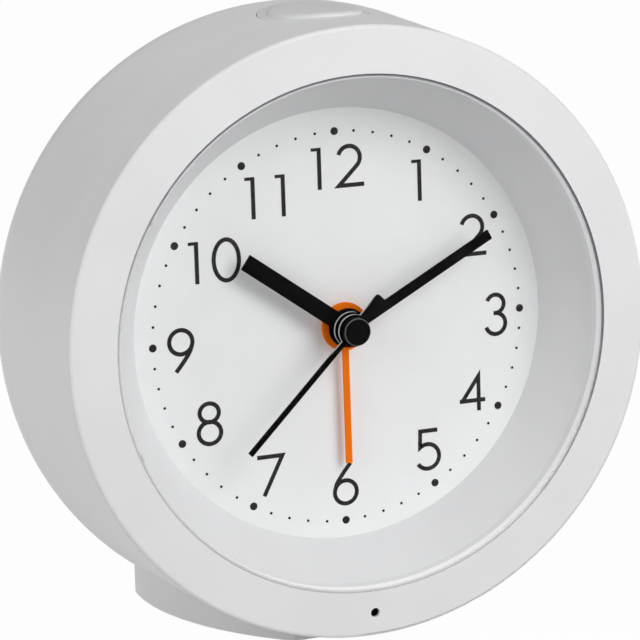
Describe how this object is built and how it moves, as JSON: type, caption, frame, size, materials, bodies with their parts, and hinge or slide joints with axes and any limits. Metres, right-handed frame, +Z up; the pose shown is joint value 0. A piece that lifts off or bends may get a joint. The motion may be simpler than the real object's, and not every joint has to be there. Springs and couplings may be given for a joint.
{
  "type": "alarm clock",
  "caption": "Round drum-shaped quartz alarm clock with a clear lens, plain dial, geared hands, snooze button, setting knobs, battery door and a foot.",
  "frame": {"origin": "middle of the clock's box, on the surface that the foot pads stand on", "axes": "+Z up towards twelve, -Y out of the dial, +X towards three as seen from the front"},
  "size_m": [0.0928, 0.0464, 0.0945],
  "materials": {
    "case_white": "satin moulded plastic",
    "ring_white": "fine matte moulded plastic",
    "button_white": "satin moulded plastic",
    "dial_white": "matte printed plastic sheet",
    "lens_clear": "clear polished acrylic",
    "pad_rubber": "soft matte rubber",
    "dark_plastic": "matte moulded plastic",
    "board_green": "lacquered circuit board",
    "cell_jacket": "plain printed jacket without marks",
    "plated_steel": "bright plated steel",
    "movement_plastic": "moulded plastic",
    "gear_plastic": "acetal",
    "copper_wire": "enamelled copper wire",
    "magnet_grey": "sintered magnet with a plastic pinion",
    "brass_metal": "turned brass",
    "hand_black": "black lacquered aluminium",
    "hand_orange": "orange lacquered aluminium",
    "knob_plastic": "satin moulded plastic"
  },
  "bodies": {
    "case": {"housing": "case_white", "lens": "lens_clear", "dial_ring": "ring_white", "dial_ring_screws": "plated_steel", "dial": "dial_white", "light_sensor": "dark_plastic", "sensor_board": "board_green", "rear_cover": "case_white", "rear_cover_screws": "plated_steel", "battery": "cell_jacket", "battery_contact_plus": "plated_steel", "battery_contact_minus": "plated_steel", "foot": "case_white", "foot_pads": "pad_rubber", "foot_screws": "plated_steel", "movement_front_plate": "movement_plastic", "movement_middle_plate": "movement_plastic", "movement_back_plate": "movement_plastic", "movement_screws": "plated_steel", "pillar_screws": "plated_steel", "stator": "plated_steel", "coil_bobbin": "movement_plastic", "coil_winding": "copper_wire", "circuit_board": "board_green", "driver_chip": "dark_plastic", "quartz_crystal": "plated_steel", "buzzer": "dark_plastic", "snooze_switch": "dark_plastic", "snooze_board": "board_green", "snooze_board_screws": "plated_steel", "alarm_slider_case": "dark_plastic"},
    "seconds": {"seconds_wheel": "brass_metal", "second_hand": "hand_black", "second_hand_cap": "hand_black"},
    "third": {"third_wheel": "gear_plastic"},
    "minutes": {"centre_wheel": "brass_metal", "minute_hand": "hand_black"},
    "motion": {"motion_wheel": "gear_plastic"},
    "hours": {"hour_wheel": "gear_plastic", "hour_hand": "hand_black"},
    "time_set": {"time_set_arbor": "gear_plastic", "time_set_knob": "knob_plastic"},
    "reduction": {"reduction_wheel": "gear_plastic"},
    "rotor_body": {"rotor": "magnet_grey"},
    "alarm": {"alarm_wheel": "gear_plastic", "alarm_hand": "hand_orange"},
    "alarm_set": {"alarm_set_arbor": "gear_plastic", "alarm_set_knob": "knob_plastic"},
    "snooze": {"snooze_button": "button_white", "snooze_plunger": "dark_plastic"},
    "alarm_switch": {"alarm_slider": "knob_plastic"},
    "door": {"battery_door": "case_white"}
  },
  "joints": [
    {"name": "seconds_turn", "type": "hinge", "parent": "case", "child": "seconds", "pos_m": [0, -0.02252, 0.04742], "axis": [0, 1, 0], "continuous": true},
    {"name": "third_turn", "type": "hinge", "parent": "case", "child": "third", "pos_m": [-0.00308, -0.02252, 0.03896], "axis": [0, 1, 0], "continuous": true},
    {"name": "minutes_turn", "type": "hinge", "parent": "case", "child": "minutes", "pos_m": [0, -0.02252, 0.04742], "axis": [0, 1, 0], "continuous": true},
    {"name": "motion_turn", "type": "hinge", "parent": "case", "child": "motion", "pos_m": [0.0042, -0.02252, 0.05469], "axis": [0, 1, 0], "continuous": true},
    {"name": "hours_turn", "type": "hinge", "parent": "case", "child": "hours", "pos_m": [0, -0.02252, 0.04742], "axis": [0, 1, 0], "continuous": true},
    {"name": "time_set_turn", "type": "hinge", "parent": "case", "child": "time_set", "pos_m": [0.0084, -0.02252, 0.06197], "axis": [0, 1, 0], "continuous": true},
    {"name": "reduction_turn", "type": "hinge", "parent": "case", "child": "reduction", "pos_m": [0.00564, -0.02252, 0.04537], "axis": [0, 1, 0], "continuous": true},
    {"name": "rotor_turn", "type": "hinge", "parent": "case", "child": "rotor_body", "pos_m": [0.01143, -0.02252, 0.04326], "axis": [0, 1, 0], "continuous": true},
    {"name": "alarm_set_turn", "type": "hinge", "parent": "case", "child": "alarm_set", "pos_m": [-0.0084, -0.02252, 0.06197], "axis": [0, 1, 0], "continuous": true},
    {"name": "alarm_turn", "type": "hinge", "parent": "case", "child": "alarm", "pos_m": [0, -0.02252, 0.04742], "axis": [0, 1, 0], "continuous": true},
    {"name": "snooze_press", "type": "slide", "parent": "case", "child": "snooze", "axis": [0, 0, -1], "range_m": [0, 0.0007], "stiffness_N_per_m": 400, "springref_m": -0.0008},
    {"name": "alarm_switch_slide", "type": "slide", "parent": "case", "child": "alarm_switch", "axis": [1, 0, 0], "range_m": [0, 0.004]},
    {"name": "battery_door_swing", "type": "hinge", "parent": "case", "child": "door", "pos_m": [0, 0.01818, 0.03507], "axis": [-1, 0, 0], "range_deg": [0, 100]}
  ],
  "couplings": [
    {"joint": "third_turn", "follows": "seconds_turn", "ratio": -0.13333},
    {"joint": "minutes_turn", "follows": "seconds_turn", "ratio": 0.016667},
    {"joint": "motion_turn", "follows": "seconds_turn", "ratio": -0.0055556},
    {"joint": "hours_turn", "follows": "seconds_turn", "ratio": 0.0013889},
    {"joint": "time_set_turn", "follows": "seconds_turn", "ratio": 0.016667},
    {"joint": "reduction_turn", "follows": "seconds_turn", "ratio": -5},
    {"joint": "rotor_turn", "follows": "seconds_turn", "ratio": 30},
    {"joint": "alarm_turn", "follows": "alarm_set_turn", "ratio": -0.25}
  ]
}
